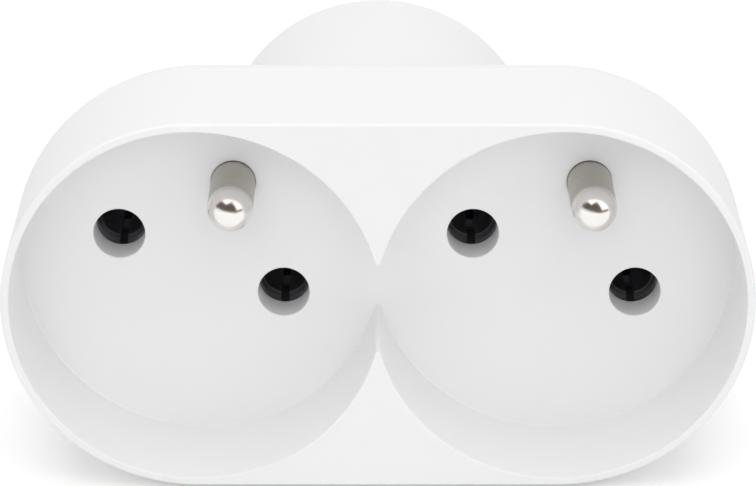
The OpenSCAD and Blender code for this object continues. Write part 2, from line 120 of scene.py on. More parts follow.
# Contacts, carrier and fixings
BAR_T = 0.8
BAR_PAD_H = 1.1
FOOT_T = 0.6
TIP_PLAY = 0.4
SLEEVE_LENGTH = 11.5
SLEEVE_GAP = 0.3
WELL_R = 3.5
WELL_T = 0.7
SCREW_X = 6.0
SCREW_DROP = 11.0
SCREW_R = 1.5
SCREW_LENGTH = 12.0
BOSS_R = 2.8
SCREW_WELL_R = 3.0
SHELF_RISE = 1.0
SHELF_T = 2.0
THREAD_BITE_SHARE = 0.25
HOOK_W = 4.0
HOOK_T = 1.2
HOOK_X = 10.0
HOOK_BARB = 0.7
HOOK_BARB_H = 1.4
LEDGE_T = 1.2
LIP_H = 1.4
LIP_T = 0.9
PAD_R = 1.5
CLIP_R = 3.0
CLIP_FLARE = 0.35
PIN_FLANGE_R = 3.4
PIN_FLANGE_T = 1.2
PIN_TAIL_R = 1.5
RIVET_HEAD_R = 2.2
RIVET_HEAD_H = 0.7
NECK_H = 0.2
NECK_CUT = 0.2
ROOT_DEPTH = 0.5
PLAY = 0.1
PRESS_PLAY = 0.02
OVER = 0.5

# Heights above the plug face
INNER_FLOOR_Z = PLUG_REACH + REAR_WALL_T
BAR_Z = INNER_FLOOR_Z + BAR_PAD_H
BAR_TOP_Z = BAR_Z + BAR_T
FOOT_TOP_Z = BAR_TOP_Z + FOOT_T
FLOOR_Z = FOOT_TOP_Z + TIP_PLAY + PLUG_PIN_LENGTH
FLOOR_BACK_Z = FLOOR_Z - FLOOR_T
COLLAR_Z = FLOOR_Z - HOLE_LENGTH
FRONT_Z = FLOOR_Z + CUP_DEPTH
SEAM_Z = FRONT_Z - SEAM_DEPTH
BOSS_Z = BAR_TOP_Z + SHELF_RISE
LEG_FOOT_Z = PLUG_FACE_T + PIN_FLANGE_T

# Places seen from the front
LOBE_X = SOCKET_SPACING / 2
HALF_PITCH = CONTACT_PITCH / 2
HOLE_X = HALF_PITCH * math.cos(HOLE_TILT)
HOLE_Y = HALF_PITCH * math.sin(HOLE_TILT)
EARTH_X = EARTH_OFFSET * math.sin(HOLE_TILT)
EARTH_Y = EARTH_OFFSET * math.cos(HOLE_TILT)
RIM_R = CUP_R + RIM_T
SEAM_R = RIM_R + SIDE_FLARE
LIP_R = SEAM_R - SKIRT_T - PLAY
LEDGE_Z = SEAM_Z - LIP_H - LEDGE_T
HOOK_Y = LIP_R - LIP_T - HOOK_BARB - 3 * PLAY
HOOK_Z = LEDGE_Z - PLAY - HOOK_BARB_H
WEB_Y = WEB_GAP / 2
WEB_NOSE_R = math.hypot(LOBE_X, WEB_Y) - CUP_R
SIDES = (-1, 1)

# Steps around the large and the small round forms, and along edges, tips, shoulder, neck and wall
LARGE_STEPS = 256
SMALL_STEPS = 96
EDGE_STEPS = 5
TIP_STEPS = 20
BEND_STEPS = 3 * EDGE_STEPS
RUN_STEPS = 72
NECK_STEPS = 8
WALL_STEPS = 6

# How far the neck's curve keeps each side's direction, and how often it fits at least in the run
NECK_PULL_SHARE = 0.6
NECKS_IN_RUN = 3

# Points nearer than this merge, and an edge sharper than this stays an edge
WELD = 1e-4
SHARP_ANGLE = math.radians(33)

# Half the length over which a pin's shaft turns into its polished tip, and half the width of the painted
# highlight ring on each clip
POLISH_FADE = 0.7
HIGHLIGHT_RING = 0.16

# The sockets of a Mix node's two inputs and of its result, for colours and for values
MIX_SOCKETS = {"RGBA": (6, 7, 2), "FLOAT": (2, 3, 0)}
WHITE = (1, 1, 1, 1)

# Finishes: the light and the dark colour of a faint cloud, and the roughness from low to high
WHITE_PLASTIC = ((0.948, 0.945, 0.951), (0.94, 0.937, 0.943), (0.38, 0.46))
BLACK_PLASTIC = ((0.07, 0.07, 0.076), (0.055, 0.055, 0.06), (0.4, 0.5))
BRASS = ((0.78, 0.6, 0.27), (0.7, 0.5, 0.2), (0.25, 0.4))
SPRING_STEEL = ((0.5, 0.51, 0.53), (0.4, 0.41, 0.43), (0.3, 0.45))
ZINC = ((0.58, 0.59, 0.6), (0.46, 0.47, 0.5), (0.28, 0.42))
DULL_BRONZE = ((0.46, 0.46, 0.49), (0.36, 0.36, 0.39))
BRONZE_ROUGH = (0.4, 0.55)
# A bright colour painted as a highlight ring on each clip, where light would catch its edge
PAINTED_HIGHLIGHT = (0.95, 0.95, 0.94, 1.0)
# The shafts' colours are darker than the tips' partly for their duller turned plating and partly as
# painted shade for the dark surroundings a shaft reflects
EARTH_SHAFT = ((0.5, 0.475, 0.43), (0.41, 0.385, 0.34))
EARTH_TIP = ((0.86, 0.84, 0.815), (0.82, 0.8, 0.77))
PLUG_SHAFT = ((0.6, 0.575, 0.53), (0.52, 0.495, 0.45))
PLUG_TIP = ((0.68, 0.66, 0.62), (0.62, 0.595, 0.555))
SHAFT_ROUGH = (0.3, 0.42)
TIP_ROUGH = (0.17, 0.24)
PLASTIC_SPECULAR = 0.3

# How fine each noise is, in waves a metre
PLASTIC_CLOUD = 45.0
MOULD_TEXTURE = 2600.0
METAL_CLOUD = 160.0
METAL_MARKS = 900.0
PIN_CLOUD = 260.0
PIN_MARKS = 240.0

# How much finer the marks are along each axis: even, rolled along X, and turned about Y
EVEN = (1, 1, 1)
ROLLED = (1, 12, 12)
TURNED_MARKS = (1, 14, 1)

# Strength of the fine relief, and its depth in metres
PLASTIC_RELIEF = (0.06, 0.00002)
METAL_RELIEF = (0.05, 0.00001)

# The part of a noise's range that holds most of it, and how much detail every noise has
NOISE_LOW = 0.3
NOISE_HIGH = 0.7
NOISE_DETAIL = 3.0


def turn(r, angle):
    """A point at distance r in a direction given in degrees."""
    return Vector((r * math.cos(math.radians(angle)), r * math.sin(math.radians(angle))))


def arc(centre, r, start, end, steps=EDGE_STEPS):
    """Points of an arc between two directions in degrees, both ends with it."""
    middle = Vector(centre)
    return [tuple(middle + turn(r, start + (end - start) * i / steps)) for i in range(steps + 1)]


def piece(name, points, faces):
    """A mesh object of its own, in the scene."""
    mesh = bpy.data.meshes.new(name)
    mesh.from_pydata([tuple(p) for p in points], [], faces)
    made = bpy.data.objects.new(name, mesh)
    bpy.context.scene.collection.objects.link(made)
    return made


def block(name, low, high):
    """A plain box between two corners, used to add or cut a flat sided feature."""
    corners = [(x, y, z) for z in (low[2], high[2]) for y in (low[1], high[1]) for x in (low[0], high[0])]
    faces = [(0, 2, 3, 1), (4, 5, 7, 6), (0, 1, 5, 4), (2, 6, 7, 3), (0, 4, 6, 2), (1, 3, 7, 5)]
    return piece(name, corners, faces)


def stack(name, rings):
    """A closed solid through rings of as many points each, from the lowest ring to the highest."""
    count = len(rings[0])
    points = [p for ring in rings for p in ring]
    faces = [tuple(reversed(range(count)))]
    for level in range(len(rings) - 1):
        low, high = level * count, (level + 1) * count
        for i in range(count):
            j = (i + 1) % count
            faces.append((low + i, low + j, high + j, high + i))
    top = (len(rings) - 1) * count
    faces.append(tuple(range(top, top + count)))
    return piece(name, points, faces)


def drop(*objects):
    """Removes the helpers that a finished piece no longer needs."""
    for helper in objects:
        bpy.data.objects.remove(helper)


def settle(made):
    """Turns what the modifiers make of an object into its plain mesh, and removes them."""
    bpy.context.view_layer.update()
    depsgraph = bpy.context.evaluated_depsgraph_get()
    mesh = bpy.data.meshes.new_from_object(made.evaluated_get(depsgraph), depsgraph=depsgraph)
    made.modifiers.clear()
    made.data = mesh
    return made


def tidy(made):
    """Merges doubles and turns every face outwards."""
    work = bmesh.new()
    work.from_mesh(made.data)
    bmesh.ops.remove_doubles(work, verts=work.verts, dist=WELD)
    bmesh.ops.dissolve_degenerate(work, edges=work.edges, dist=WELD)
    bmesh.ops.recalc_face_normals(work, faces=work.faces)
    work.to_mesh(made.data)
    work.free()
    return made


def combine(made, *steps):
    """Adds or cuts solids in order, given as (operation, solid), and removes those solids."""
    for operation, solid in steps:
        boolean = made.modifiers.new(solid.name, "BOOLEAN")
        boolean.operation = operation
        boolean.solver = "MANIFOLD"
        boolean.object = solid
    settle(made)
    drop(*[solid for operation, solid in steps])
    return made


def new_tree(name, inputs):
    """An empty Geometry Nodes tree with named inputs and one geometry output."""
    tree = bpy.data.node_groups.new(name, "GeometryNodeTree")
    tree.interface.new_socket("Geometry", in_out="OUTPUT", socket_type="NodeSocketGeometry")
    for label, kind in inputs:
        tree.interface.new_socket(label, in_out="INPUT", socket_type=kind)
    return tree


def run_tree(tree, name, values):
    """Makes a piece with a tree, its inputs set by their sockets' identifiers."""
    made = piece(name, [], [])
    modifier = made.modifiers.new(tree.name, "NODES")
    modifier.node_group = tree
    for item in tree.interface.items_tree:
        if item.item_type == "SOCKET" and item.in_out == "INPUT":
            modifier[item.identifier] = values[item.name]
    return settle(made)


def node_maker(tree):
    """Two short helpers for a tree: one adds a node, the other wires or fills a socket."""
    def add(kind, **settings):
        node = tree.nodes.new(kind)
        for key, value in settings.items():
            setattr(node, key, value)
        return node

    def feed(node, socket, value):
        if isinstance(value, bpy.types.NodeSocket):
            tree.links.new(value, node.inputs[socket])
        else:
            node.inputs[socket].default_value = value

    return add, feed


def math_maker(add, feed):
    """A helper that adds one Math node and returns its result."""
    def calc(operation, first, second=0.0):
        node = add("ShaderNodeMath", operation=operation)
        feed(node, 0, first)
        feed(node, 1, second)
        return node.outputs[0]

    return calc


def turned_tree():
    """Turns a section about the z axis, and draws the result apart along x by a half length.

    With no half length this is a turned piece, and with one it is a body with two round ends.
    The steps around start half a step off the x axis, so none falls on the plane between the ends.
    """
    tree = new_tree("turned_body", [
        ("Section", "NodeSocketObject"),
        ("Half Length", "NodeSocketFloat"),
        ("Around", "NodeSocketInt"),
        ("Weld", "NodeSocketFloat"),
        ("Finish", "NodeSocketMaterial"),
    ])
    add, feed = node_maker(tree)
    calc = math_maker(add, feed)
    given = add("NodeGroupInput").outputs
    section = add("GeometryNodeObjectInfo")
    feed(section, "Object", given["Section"])
    size = add("GeometryNodeAttributeDomainSize", component="MESH")
    feed(size, "Geometry", section.outputs["Geometry"])
    levels = size.outputs["Point Count"]
    grid = add("GeometryNodeMeshGrid")
    feed(grid, "Vertices X", calc("ADD", given["Around"], 1.0))
    feed(grid, "Vertices Y", levels)
    index = add("GeometryNodeInputIndex").outputs[0]
    level = calc("MODULO", index, levels)
    step = calc("FLOOR", calc("DIVIDE", calc("ADD", index, 0.5), levels))
    angle = calc("MULTIPLY", calc("DIVIDE", calc("ADD", step, 0.5), given["Around"]), 2 * math.pi)
    place = add("GeometryNodeInputPosition").outputs[0]
    sample = add("GeometryNodeSampleIndex", data_type="FLOAT_VECTOR", domain="POINT")
    feed(sample, "Geometry", section.outputs["Geometry"])
    feed(sample, "Value", place)
    feed(sample, "Index", level)
    split = add("ShaderNodeSeparateXYZ")
    feed(split, 0, sample.outputs[0])
    cosine = calc("COSINE", angle)
    across = calc("MULTIPLY", split.outputs["X"], cosine)
    apart = calc("MULTIPLY", calc("SIGN", cosine), given["Half Length"])
    spot = add("ShaderNodeCombineXYZ")
    feed(spot, "X", calc("ADD", across, apart))
    feed(spot, "Y", calc("MULTIPLY", split.outputs["X"], calc("SINE", angle)))
    feed(spot, "Z", split.outputs["Z"])
    laid = add("GeometryNodeSetPosition")
    feed(laid, "Geometry", grid.outputs["Mesh"])
    feed(laid, "Position", spot.outputs[0])
    merged = add("GeometryNodeMergeByDistance")
    feed(merged, "Geometry", laid.outputs[0])
    feed(merged, "Distance", given["Weld"])
    finish_tree(tree, add, feed, merged.outputs[0], given["Finish"])
    return tree


def set_out_tree():
    """Sets copies of one piece out at the points of another."""
    tree = new_tree("set_out", [
        ("Piece", "NodeSocketObject"),
        ("Places", "NodeSocketObject"),
        ("Finish", "NodeSocketMaterial"),
    ])
    add, feed = node_maker(tree)
    given = add("NodeGroupInput").outputs
    one = add("GeometryNodeObjectInfo")
    feed(one, "Object", given["Piece"])
    places = add("GeometryNodeObjectInfo")
    feed(places, "Object", given["Places"])
    points = add("GeometryNodeMeshToPoints")
    feed(points, "Mesh", places.outputs["Geometry"])
    copies = add("GeometryNodeInstanceOnPoints")
    feed(copies, "Points", points.outputs[0])
    feed(copies, "Instance", one.outputs["Geometry"])
    finish_tree(tree, add, feed, copies.outputs[0], given["Finish"])
    return tree


def finish_tree(tree, add, feed, geometry, finish):
    """Ends a tree in Realize Instances and Set Material."""
    real = add("GeometryNodeRealizeInstances")
    feed(real, "Geometry", geometry)
    coat = add("GeometryNodeSetMaterial")
    feed(coat, "Geometry", real.outputs[0])
    feed(coat, "Material", finish)
    out = add("NodeGroupOutput")
    feed(out, "Geometry", coat.outputs[0])


TURNED = turned_tree()
SET_OUT = set_out_tree()


def turned(name, section, half_length=0.0, around=SMALL_STEPS, finish=None):
    """A turned solid, or one drawn apart to two round ends, from half of its section."""
    outline = piece(name + "_section", [(r, 0.0, z) for r, z in section], [])
    values = {
        "Section": outline,
        "Half Length": half_length,
        "Around": around,
        "Weld": WELD,
        "Finish": finish,
    }
    made = run_tree(TURNED, name, values)
    drop(outline)
    return tidy(made)


def lobed(name, section):
    """A body with the two sockets' round ends, from half of its section."""
    return turned(name, section, LOBE_X, LARGE_STEPS)


def lobed_plate(name, r, low, high):
    """A flat plate with two round ends."""
    return lobed(name, [(0, low), (r, low), (r, high), (0, high)])


def rod(name, r, low, high):
    """A plain round rod, used to add or cut a round feature."""
    return turned(name, [(0, low), (r, low), (r, high), (0, high)])


def set_out(one, places):
    """Copies of a piece at places seen from the front, as one solid. The piece itself goes."""
    points = piece(one.name + "_places", [(x, y, 0.0) for x, y in places], [])
    made = run_tree(SET_OUT, one.name + "_set", {"Piece": one, "Places": points, "Finish": None})
    drop(one, points)
    return made


def hole_places():
    """The four contact holes, neutral and live of each socket."""
    return [(side * LOBE_X + k * HOLE_X, -k * HOLE_Y) for side in SIDES for k in SIDES]


def earth_places():
    """The two earth pins."""
    return [(side * LOBE_X + EARTH_X, EARTH_Y) for side in SIDES]


def screw_places():
    """The two housing screws."""
    return [(side * SCREW_X, -SCREW_DROP) for side in SIDES]


def plug_pin_places():
    """The two plug pins."""
    return [(side * HALF_PITCH, 0.0) for side in SIDES]


def recess_ring(grow, z):
    """The outline of both recesses at a height, moved outwards by grow."""
    lean = math.degrees(math.atan2(WEB_Y, LOBE_X))
    cup_r = CUP_R + grow
    nose_r = WEB_NOSE_R - grow
    cup_steps = LARGE_STEPS * 3 // 4
    nose_steps = 2 * EDGE_STEPS
    right = arc((LOBE_X, 0), cup_r, lean - 180, 180 - lean, cup_steps)[:-1]
    top = arc((0, WEB_Y), nose_r, -lean, lean - 180, nose_steps)[:-1]
    left = arc((-LOBE_X, 0), cup_r, lean, 360 - lean, cup_steps)[:-1]
    bottom = arc((0, -WEB_Y), nose_r, 180 - lean, lean, nose_steps)[:-1]
    return [(x, y, z) for x, y in right + top + left + bottom]


def recess_cutter():
    """Both recesses with a soft floor corner and a rounded mouth."""
    floor = arc((-CUP_FILLET_R, FLOOR_Z + CUP_FILLET_R), CUP_FILLET_R, -90, 0)
    mouth = arc((CUP_MOUTH_R, FRONT_Z - CUP_MOUTH_R), CUP_MOUTH_R, 180, 90)
    levels = floor + mouth + [(CUP_MOUTH_R, FRONT_Z + OVER)]
    return stack("recesses", [recess_ring(grow, z) for grow, z in levels])


def web_core():
    """The hollow behind the web's front face, open to the back."""
    core_y = RIM_R - SKIRT_T
    hollow = block("web_core", (-LOBE_X, -core_y, SEAM_Z - OVER), (LOBE_X, core_y, FRONT_Z - WEB_FACE_T))
    low, high, r = SEAM_Z - 2 * OVER, FRONT_Z, CUP_R + WEB_WALL_T
    for side in SIDES:
        cup = turned("web_cup", [(0, low), (r, low), (r, high), (0, high)], around=LARGE_STEPS)
        cup.data.transform(Matrix.Translation((side * LOBE_X, 0, 0)))
        combine(hollow, ("DIFFERENCE", cup))
    return hollow


def soft_hole(name, r, low, mouth_z, mouth_r):
    """A round hole up to a face, with the edge of its mouth rounded."""
    mouth = arc((r + mouth_r, mouth_z - mouth_r), mouth_r, 180, 90)
    top = mouth_z + OVER
    return turned(name, [(0, low), (r, low)] + mouth + [(r + mouth_r, top), (0, top)])


def hook(side):
    """A snap hook that reaches into the rear housing at its top."""
    x = side * HOOK_X
    top = FLOOR_Z - FLOOR_T / 2
    low_x, high_x = x - HOOK_W / 2, x + HOOK_W / 2
    arm = block("hook_arm", (low_x, HOOK_Y - HOOK_T, HOOK_Z), (high_x, HOOK_Y, top))
    barb_top = HOOK_Z + HOOK_BARB_H
    inner, outer = HOOK_Y - HOOK_T / 2, HOOK_Y + HOOK_BARB
    ends = [(inner, HOOK_Z), (HOOK_Y, HOOK_Z), (outer, barb_top), (inner, barb_top)]
    barb = stack("hook_barb", [[(edge, y, z) for y, z in ends] for edge in (low_x, high_x)])
    return combine(arm, ("UNION", tidy(barb)))


def front_housing():
    """The front shell: rim, two recesses, collars behind the holes, screw bosses and hooks."""
    rim = arc((RIM_R - RIM_EDGE_R, FRONT_Z - RIM_EDGE_R), RIM_EDGE_R, 0, 90)
    body = lobed("front_housing_shell", [
        (0, SEAM_Z),
        (SEAM_R - SEAM_EDGE, SEAM_Z),
        (SEAM_R, SEAM_Z + SEAM_EDGE),
    ] + rim + [(0, FRONT_Z)])
    collar_top = FLOOR_Z - FLOOR_T / 2
    collars = set_out(rod("collar", COLLAR_R, COLLAR_Z, collar_top), hole_places() + earth_places())
    bosses = set_out(rod("boss", BOSS_R, BOSS_Z, collar_top), screw_places())
    holes = set_out(soft_hole("hole", HOLE_R, COLLAR_Z - OVER, FLOOR_Z, HOLE_MOUTH_R), hole_places())
    reliefs = set_out(rod("hole_relief", RELIEF_R, COLLAR_Z - OVER, COLLAR_Z + RELIEF_H), hole_places())
    earth_r = EARTH_PIN_R + PRESS_PLAY
    earth_bore = soft_hole("earth_bore", earth_r, COLLAR_Z - OVER, FLOOR_Z, HOLE_MOUTH_R / 2)
    earth_bores = set_out(earth_bore, earth_places())
    root_top = FLOOR_Z - ROOT_DEPTH
    root = rod("earth_root", EARTH_ROOT_R + PRESS_PLAY, COLLAR_Z - OVER, root_top)
    roots = set_out(root, earth_places())
    pilot_r = SCREW_R * (1 - THREAD_BITE_SHARE)
    pilots = set_out(rod("pilot", pilot_r, BOSS_Z - OVER, BOSS_Z + SCREW_LENGTH), screw_places())
    hollow = lobed_plate("hollow", SEAM_R - SKIRT_T, SEAM_Z - OVER, FLOOR_BACK_Z)
    return combine(
        body,
        ("DIFFERENCE", hollow),
        ("DIFFERENCE", recess_cutter()),
        ("DIFFERENCE", web_core()),
        ("UNION", collars),
        ("UNION", bosses),
        ("UNION", hook(-1)),
        ("UNION", hook(1)),
        ("DIFFERENCE", holes),
        ("DIFFERENCE", reliefs),
        ("DIFFERENCE", earth_bores),
        ("DIFFERENCE", roots),
        ("DIFFERENCE", pilots),
    )


def shoulder(inset):
    """Half the shoulder's section from the seam to its back face, moved inwards by a wall."""
    flare = math.atan(SIDE_FLARE / SEAM_DEPTH)
    bend_x = SEAM_R - SHOULDER_BEND_R * math.cos(flare)
    bend_z = SEAM_Z - SEAM_EDGE - SHOULDER_BEND_R * math.sin(flare)
    well_x = HALF_PITCH + WELL_R + WELL_T + SHOULDER_ROOM + REAR_WALL_T - bend_x
    well_drop = bend_z - FOOT_TOP_Z
    slope = math.atan2(well_drop, well_x) - math.acos(SHOULDER_BEND_R / math.hypot(well_x, well_drop))
    slope_x = bend_x + SHOULDER_BEND_R * math.cos(slope)
    slope_z = bend_z - SHOULDER_BEND_R * math.sin(slope)
    corner_z = PLUG_REACH + SHOULDER_CORNER_R
    run = slope_z - corner_z + SHOULDER_CORNER_R * math.sin(slope)
    corner_x = slope_x - run * math.tan(slope) - SHOULDER_CORNER_R * math.cos(slope)
    lean = math.degrees(slope)
    bend = arc((bend_x, bend_z), SHOULDER_BEND_R - inset, math.degrees(flare), -lean, BEND_STEPS)
    corner = arc((corner_x, corner_z), SHOULDER_CORNER_R - inset, -lean, -90, BEND_STEPS)
    return bend + corner


def plug_wall():
    """The straight flare of the plug body, from the shoulder's back face up to the seam."""
    return [(PLUG_R + PLUG_FLARE, PLUG_REACH), (SEAM_R - SEAM_EDGE, SEAM_Z)]


def lobe_reach(r, direction):
    """Distance from the middle to the outline of the body of half width r, in one direction."""
    across, up = abs(direction.x), abs(direction.y)
    if up * LOBE_X > r * across:
        return r / up
    return LOBE_X * across + math.sqrt(r * r - (LOBE_X * up) ** 2)


def crossing(outer, wall):
    """Where a polyline first dips under the plug body's wall: its index and the point."""
    (base_r, base_z), (top_r, top_z) = wall

    def over_wall(point):
        share = (point[1] - base_z) / (top_z - base_z)
        return point[0] - (base_r + (top_r - base_r) * share)

    for i in range(1, len(outer)):
        before, after = over_wall(outer[i - 1]), over_wall(outer[i])
        if after <= 0 < before:
            point = Vector(outer[i - 1]).lerp(Vector(outer[i]), before / (before - after))
            return i, point
    return len(outer) - 1, Vector(wall[0])


def along(points, distance):
    """The point at a distance along a polyline from its first point, and the direction there."""
    left = distance
    for a, b in zip(points, points[1:]):
        length = (b - a).length
        if left <= length and length > 0:
            return a.lerp(b, left / length), (b - a) / length
        left -= length
    return points[-1], (points[-1] - points[-2]).normalized()


def meridian(direction):
    """The rear housing's outline in one direction, from the seam to the plug face's edge.

    The shoulder runs into the plug body through a soft neck.
    """
    section = [(SEAM_R, SEAM_Z - SEAM_EDGE)] + shoulder(0)[1:]
    outer = [Vector((lobe_reach(min(r, SEAM_R), direction), z)) for r, z in section]
    wall = plug_wall()
    last, corner = crossing(outer + [Vector((0, PLUG_REACH))], wall)
    run = outer[:last] + [corner]
    length = sum((b - a).length for a, b in zip(run, run[1:]))
    neck = min(NECK_FILLET, length / NECKS_IN_RUN)
    points = [along(run, (length - neck) * i / RUN_STEPS)[0] for i in range(RUN_STEPS + 1)]
    start, start_way = along(run, length - neck)
    plug_way = (Vector((PLUG_R, 0)) - corner).normalized()
    end = corner + plug_way * neck
    reach = neck * NECK_PULL_SHARE
    handles = (start, start + start_way * reach, end - plug_way * reach, end)
    for i in range(1, NECK_STEPS + 1):
        t = i / NECK_STEPS
        shares = ((1 - t) ** 3, 3 * t * (1 - t) ** 2, 3 * t * t * (1 - t), t ** 3)
        points.append(sum((h * s for h, s in zip(handles, shares)), Vector((0, 0))))
    edge = arc((PLUG_R - PLUG_EDGE_R, PLUG_EDGE_R), PLUG_EDGE_R, 0, -90, 2 * EDGE_STEPS)
    straight = [end.lerp(Vector(edge[0]), i / WALL_STEPS) for i in range(1, WALL_STEPS)]
    return points + straight + [Vector(p) for p in edge]


def rear_skin():
    """The rear housing's whole outer form as one closed solid."""
    directions = [turn(1, 360 * (i + 0.5) / LARGE_STEPS) for i in range(LARGE_STEPS)]
    seam_inner = SEAM_R - SEAM_EDGE
    outlines = [[Vector((lobe_reach(seam_inner, d), SEAM_Z))] + meridian(d) for d in directions]
    levels = len(outlines[0])
    rings = []
    for level in reversed(range(levels)):
        rings.append([
            (d.x * line[level].x, d.y * line[level].x, line[level].y)
            for d, line in zip(directions, outlines)
        ])
    return tidy(stack("rear_housing_shell", rings))


def rear_hollow():
    """The inside of the shoulder and of the plug body, open at the seam."""
    sleeve = lobed("shoulder_hollow", [
        (0, SEAM_Z + OVER),
        (SEAM_R - REAR_WALL_T, SEAM_Z + OVER),
    ] + shoulder(REAR_WALL_T) + [(0, INNER_FLOOR_Z)])
    barrel = turned("plug_hollow", [
        (0, PLUG_FACE_T),
        (PLUG_R - PLUG_WALL_T, PLUG_FACE_T),
        (PLUG_R + PLUG_FLARE - PLUG_WALL_T, PLUG_REACH),
        (SEAM_R - SEAM_EDGE - PLUG_WALL_T, SEAM_Z + OVER),
        (0, SEAM_Z + OVER),
    ], around=LARGE_STEPS)
    return combine(sleeve, ("UNION", barrel))


def face_cut(name, r, top):
    """A round cut through the plug face, with the edge of its mouth rounded."""
    mouth = arc((r + HOLE_MOUTH_R, HOLE_MOUTH_R), HOLE_MOUTH_R, -90, -180)
    low = -OVER
    return turned(name, [(0, low), (r + HOLE_MOUTH_R, low)] + mouth + [(r, top), (0, top)])


def ledge(side):
    """A ledge on the lip that a snap hook catches."""
    x = side * HOOK_X
    low = (x - HOOK_W / 2, HOOK_Y + PLAY, LEDGE_Z)
    return block("ledge", low, (x + HOOK_W / 2, LIP_R - LIP_T / 2 + PLAY, SEAM_Z - LIP_H / 2))


def lip():
    """The lip that centres the two housings on each other."""
    outer = lobed_plate("lip", LIP_R, SEAM_Z - LIP_H, SEAM_Z + LIP_H)
    inner = lobed_plate("lip_inside", LIP_R - LIP_T, SEAM_Z - LIP_H - OVER, SEAM_Z + LIP_H + OVER)
    return combine(outer, ("DIFFERENCE", inner))


def rear_housing():
    """The rear shell: shoulder, plug body with its holes, screw wells, pads, lip and ledges."""
    sleeve_top = PLUG_FACE_T + SLEEVE_GAP + SLEEVE_LENGTH
    wells = set_out(rod("screw_tube", SCREW_WELL_R + WELL_T, PLUG_FACE_T / 2, BOSS_Z), screw_places())
    earth_tube = rod("earth_tube", WELL_R + WELL_T, PLUG_FACE_T / 2, sleeve_top - PLUG_FACE_T / 2)
    earth_tube.data.transform(Matrix.Translation((0, EARTH_OFFSET, 0)))
    pad_x = LOBE_X + HOLE_X - CLIP_R
    pad = rod("bar_pad", PAD_R, PLUG_REACH + REAR_WALL_T / 2, BAR_Z)
    pads = set_out(pad, [(-pad_x, HOLE_Y), (pad_x, -HOLE_Y)])
    pin_holes = set_out(face_cut("pin_hole", PLUG_PIN_R + PRESS_PLAY, PLUG_FACE_T), plug_pin_places())
    roots = set_out(
        rod("pin_root", PLUG_ROOT_R + PRESS_PLAY, ROOT_DEPTH, PLUG_FACE_T + ROOT_DEPTH), plug_pin_places()
    )
    earth_hole = face_cut("earth_hole", EARTH_HOLE_R, PLUG_FACE_T + OVER)
    earth_well = rod("earth_well", WELL_R, PLUG_FACE_T, PLUG_FACE_T + SLEEVE_LENGTH)
    for cut in (earth_hole, earth_well):
        cut.data.transform(Matrix.Translation((0, EARTH_OFFSET, 0)))
    screw_wells = set_out(face_cut("screw_well", SCREW_WELL_R, BOSS_Z - SHELF_T), screw_places())
    screw_hole = rod("screw_hole", SCREW_R + PLAY, BOSS_Z - SHELF_T - OVER, BOSS_Z + OVER)
    return combine(
        rear_skin(),
        ("DIFFERENCE", rear_hollow()),
        ("UNION", wells),
        ("UNION", earth_tube),
        ("UNION", pads),
        ("UNION", lip()),
        ("UNION", ledge(-1)),
        ("UNION", ledge(1)),
        ("DIFFERENCE", pin_holes),
        ("DIFFERENCE", roots),
        ("DIFFERENCE", earth_hole),
        ("DIFFERENCE", earth_well),
        ("DIFFERENCE", screw_wells),
        ("DIFFERENCE", set_out(screw_hole, screw_places())),
    )


def earth_pin(name, place):
    """One earth pin, from its riveted tail to its round polished tip."""
    tip_z = FLOOR_Z + EARTH_PIN_REACH
    flange_z = COLLAR_Z - EARTH_FLANGE_T
    neck_r = EARTH_PIN_R - NECK_CUT
    made = turned(name, [
        (0, BAR_Z - RIVET_HEAD_H),
        (PIN_TAIL_R, BAR_Z - RIVET_HEAD_H),
        (RIVET_HEAD_R, BAR_Z - RIVET_HEAD_H / 2),
        (RIVET_HEAD_R, BAR_Z),
        (PIN_TAIL_R, BAR_Z),
        (PIN_TAIL_R, BAR_TOP_Z),
        (EARTH_TAIL_R, BAR_TOP_Z),
        (EARTH_TAIL_R, flange_z),
        (EARTH_FLANGE_R, flange_z),
        (EARTH_FLANGE_R, COLLAR_Z),
        (EARTH_ROOT_R, COLLAR_Z),
        (EARTH_ROOT_R, FLOOR_Z - ROOT_DEPTH),
        (neck_r, FLOOR_Z - ROOT_DEPTH),
        (neck_r, FLOOR_Z + NECK_H),
        (EARTH_PIN_R, FLOOR_Z + NECK_H),
    ] + arc((0, tip_z - EARTH_PIN_R), EARTH_PIN_R, 0, 90, TIP_STEPS))
    made.data.transform(Matrix.Translation((*place, 0)))
    return made


def plug_pin(name, place):
    """One plug pin, with its flange and riveted tail inside the plug body."""
    tail_top = LEG_FOOT_Z + BAR_T
    neck_r = PLUG_PIN_R - NECK_CUT
    tip = arc((0, PLUG_PIN_R - PLUG_PIN_LENGTH), PLUG_PIN_R, -90, 0, TIP_STEPS)
    made = turned(name, tip + [
        (PLUG_PIN_R, -NECK_H),
        (neck_r, -NECK_H),
        (neck_r, ROOT_DEPTH),
        (PLUG_ROOT_R, ROOT_DEPTH),
        (PLUG_ROOT_R, PLUG_FACE_T),
        (PIN_FLANGE_R, PLUG_FACE_T),
        (PIN_FLANGE_R, LEG_FOOT_Z),
        (PIN_TAIL_R, LEG_FOOT_Z),
        (PIN_TAIL_R, tail_top),
        (RIVET_HEAD_R, tail_top),
        (RIVET_HEAD_R, tail_top + RIVET_HEAD_H / 2),
        (PIN_TAIL_R, tail_top + RIVET_HEAD_H),
        (0, tail_top + RIVET_HEAD_H),
    ])
    made.data.transform(Matrix.Translation((*place, 0)))
    return made


def finish(made, name, coat, slot, *nodes):
    """Turns a piece upright, shades it, coats it and lets it stand for its nodes."""
    made.name = name
    tidy(made)
    made.data.transform(UPRIGHT)
    made.data.shade_smooth()
    made.data.set_sharp_from_angle(angle=SHARP_ANGLE)
    weighted = made.modifiers.new("even_shading", "WEIGHTED_NORMAL")
    weighted.keep_sharp = True
    settle(made)
    made.data.name = name
    made.data.materials.clear()
    made.data.materials.append(coat)
    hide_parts(*nodes)
    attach(made, "root")
    return made


